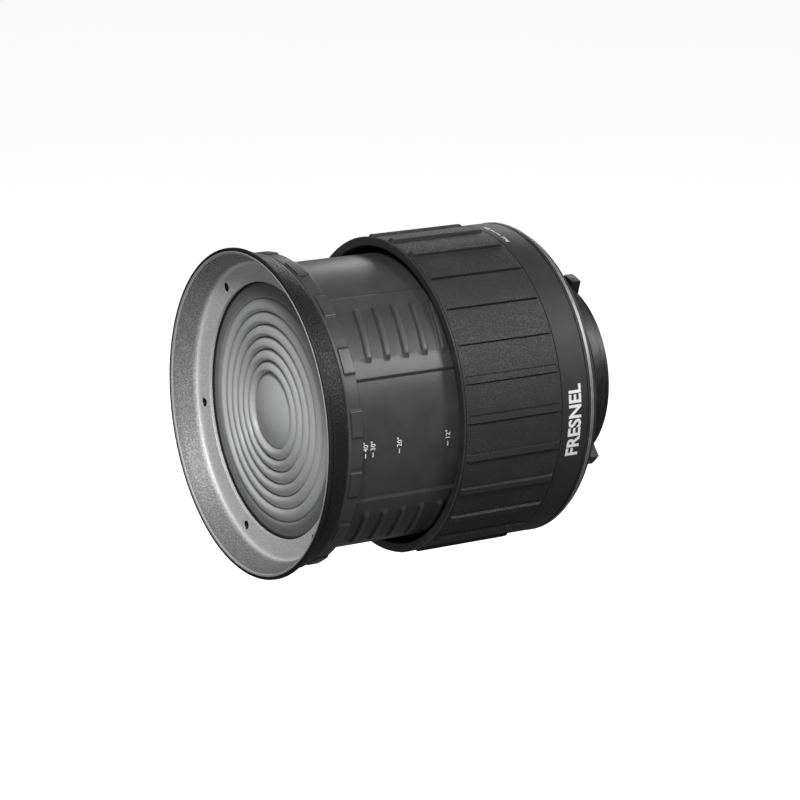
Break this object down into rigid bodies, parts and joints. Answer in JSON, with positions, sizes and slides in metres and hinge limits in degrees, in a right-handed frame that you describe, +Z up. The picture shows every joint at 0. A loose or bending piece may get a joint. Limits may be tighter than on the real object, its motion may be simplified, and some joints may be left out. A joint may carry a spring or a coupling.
{
  "type": "fresnel spotlight attachment",
  "caption": "Zoom fresnel spotlight attachment: a ribbed focus ring turns and slides a round lens barrel in and out of its body, on a three-lug bayonet for a studio lamp.",
  "frame": {"origin": "centre of the bayonet's seating plane, where the rear face of its disc meets the lamp head", "axes": "+Y along the optical axis towards the lamp head, so the beam leaves towards -Y; +Z up"},
  "size_m": [0.184, 0.206, 0.184],
  "materials": {
    "barrel_plastic": "fine moulded texture, satin",
    "flange_black": "fine grained moulded texture",
    "bezel_silver": "bead-blasted silver",
    "lens_glass": "pressed glass, light frost",
    "grip_rubber": "fine grained, matte",
    "body_black": "fine satin powder coat",
    "neck_black": "dark anodised, satin",
    "lip_satin": "satin, worn a little brighter on its edge",
    "trim_satin": "satin anodised",
    "mount_metal": "dark anodised",
    "inner_black": "matt black inside finish",
    "steel": "zinc plated",
    "seal_black": "matte black",
    "bearing_white": "natural acetal"
  },
  "bodies": {
    "base": {"bayonet_ring": "mount_metal", "rear_plate": "body_black", "rear_neck": "neck_black", "rear_cover": "body_black", "bearing_ring": "bearing_white", "guide_tube": "inner_black", "rear_lens": "lens_glass", "rear_lens_gasket": "seal_black", "rear_lens_retainer": "inner_black", "bayonet_screw_1": "steel", "bayonet_screw_2": "steel", "bayonet_screw_3": "steel", "bayonet_screw_4": "steel", "bayonet_screw_5": "steel", "bayonet_screw_6": "steel", "cover_screw_1": "steel", "cover_screw_2": "steel", "cover_screw_3": "steel", "cover_screw_4": "steel", "guide_screw_1": "steel", "guide_screw_2": "steel", "guide_screw_3": "steel"},
    "focus_ring": {"focus_shell": "body_black", "front_lip_ring": "lip_satin", "light_seal": "seal_black", "rear_band": "body_black", "trim_ring": "trim_satin", "grip_sleeve": "grip_rubber", "cam_tube": "inner_black"},
    "barrel": {"barrel_tube": "barrel_plastic", "front_flange": "flange_black", "front_bezel": "bezel_silver", "fresnel_lens": "lens_glass", "lens_gasket": "seal_black", "lens_retainer": "inner_black", "bezel_screw_1": "steel", "bezel_screw_2": "steel", "bezel_screw_3": "steel", "bezel_screw_4": "steel", "bezel_screw_5": "steel", "bezel_screw_6": "steel", "follower_pin_1": "steel", "follower_pin_2": "steel", "follower_pin_3": "steel", "cam_roller_1": "bearing_white", "cam_roller_2": "bearing_white", "cam_roller_3": "bearing_white", "guide_bush_1": "bearing_white", "guide_bush_2": "bearing_white", "guide_bush_3": "bearing_white"}
  },
  "joints": [
    {"name": "focus_turn", "type": "hinge", "parent": "base", "child": "focus_ring", "pos_m": [0, -0.07, 0], "axis": [0, 1, 0], "range_deg": [0, 100]},
    {"name": "zoom_slide", "type": "slide", "parent": "base", "child": "barrel", "axis": [0, 1, 0], "range_m": [0, 0.052]}
  ],
  "couplings": [
    {"joint": "zoom_slide", "follows": "focus_turn", "m_per_rad": 0.029622}
  ]
}
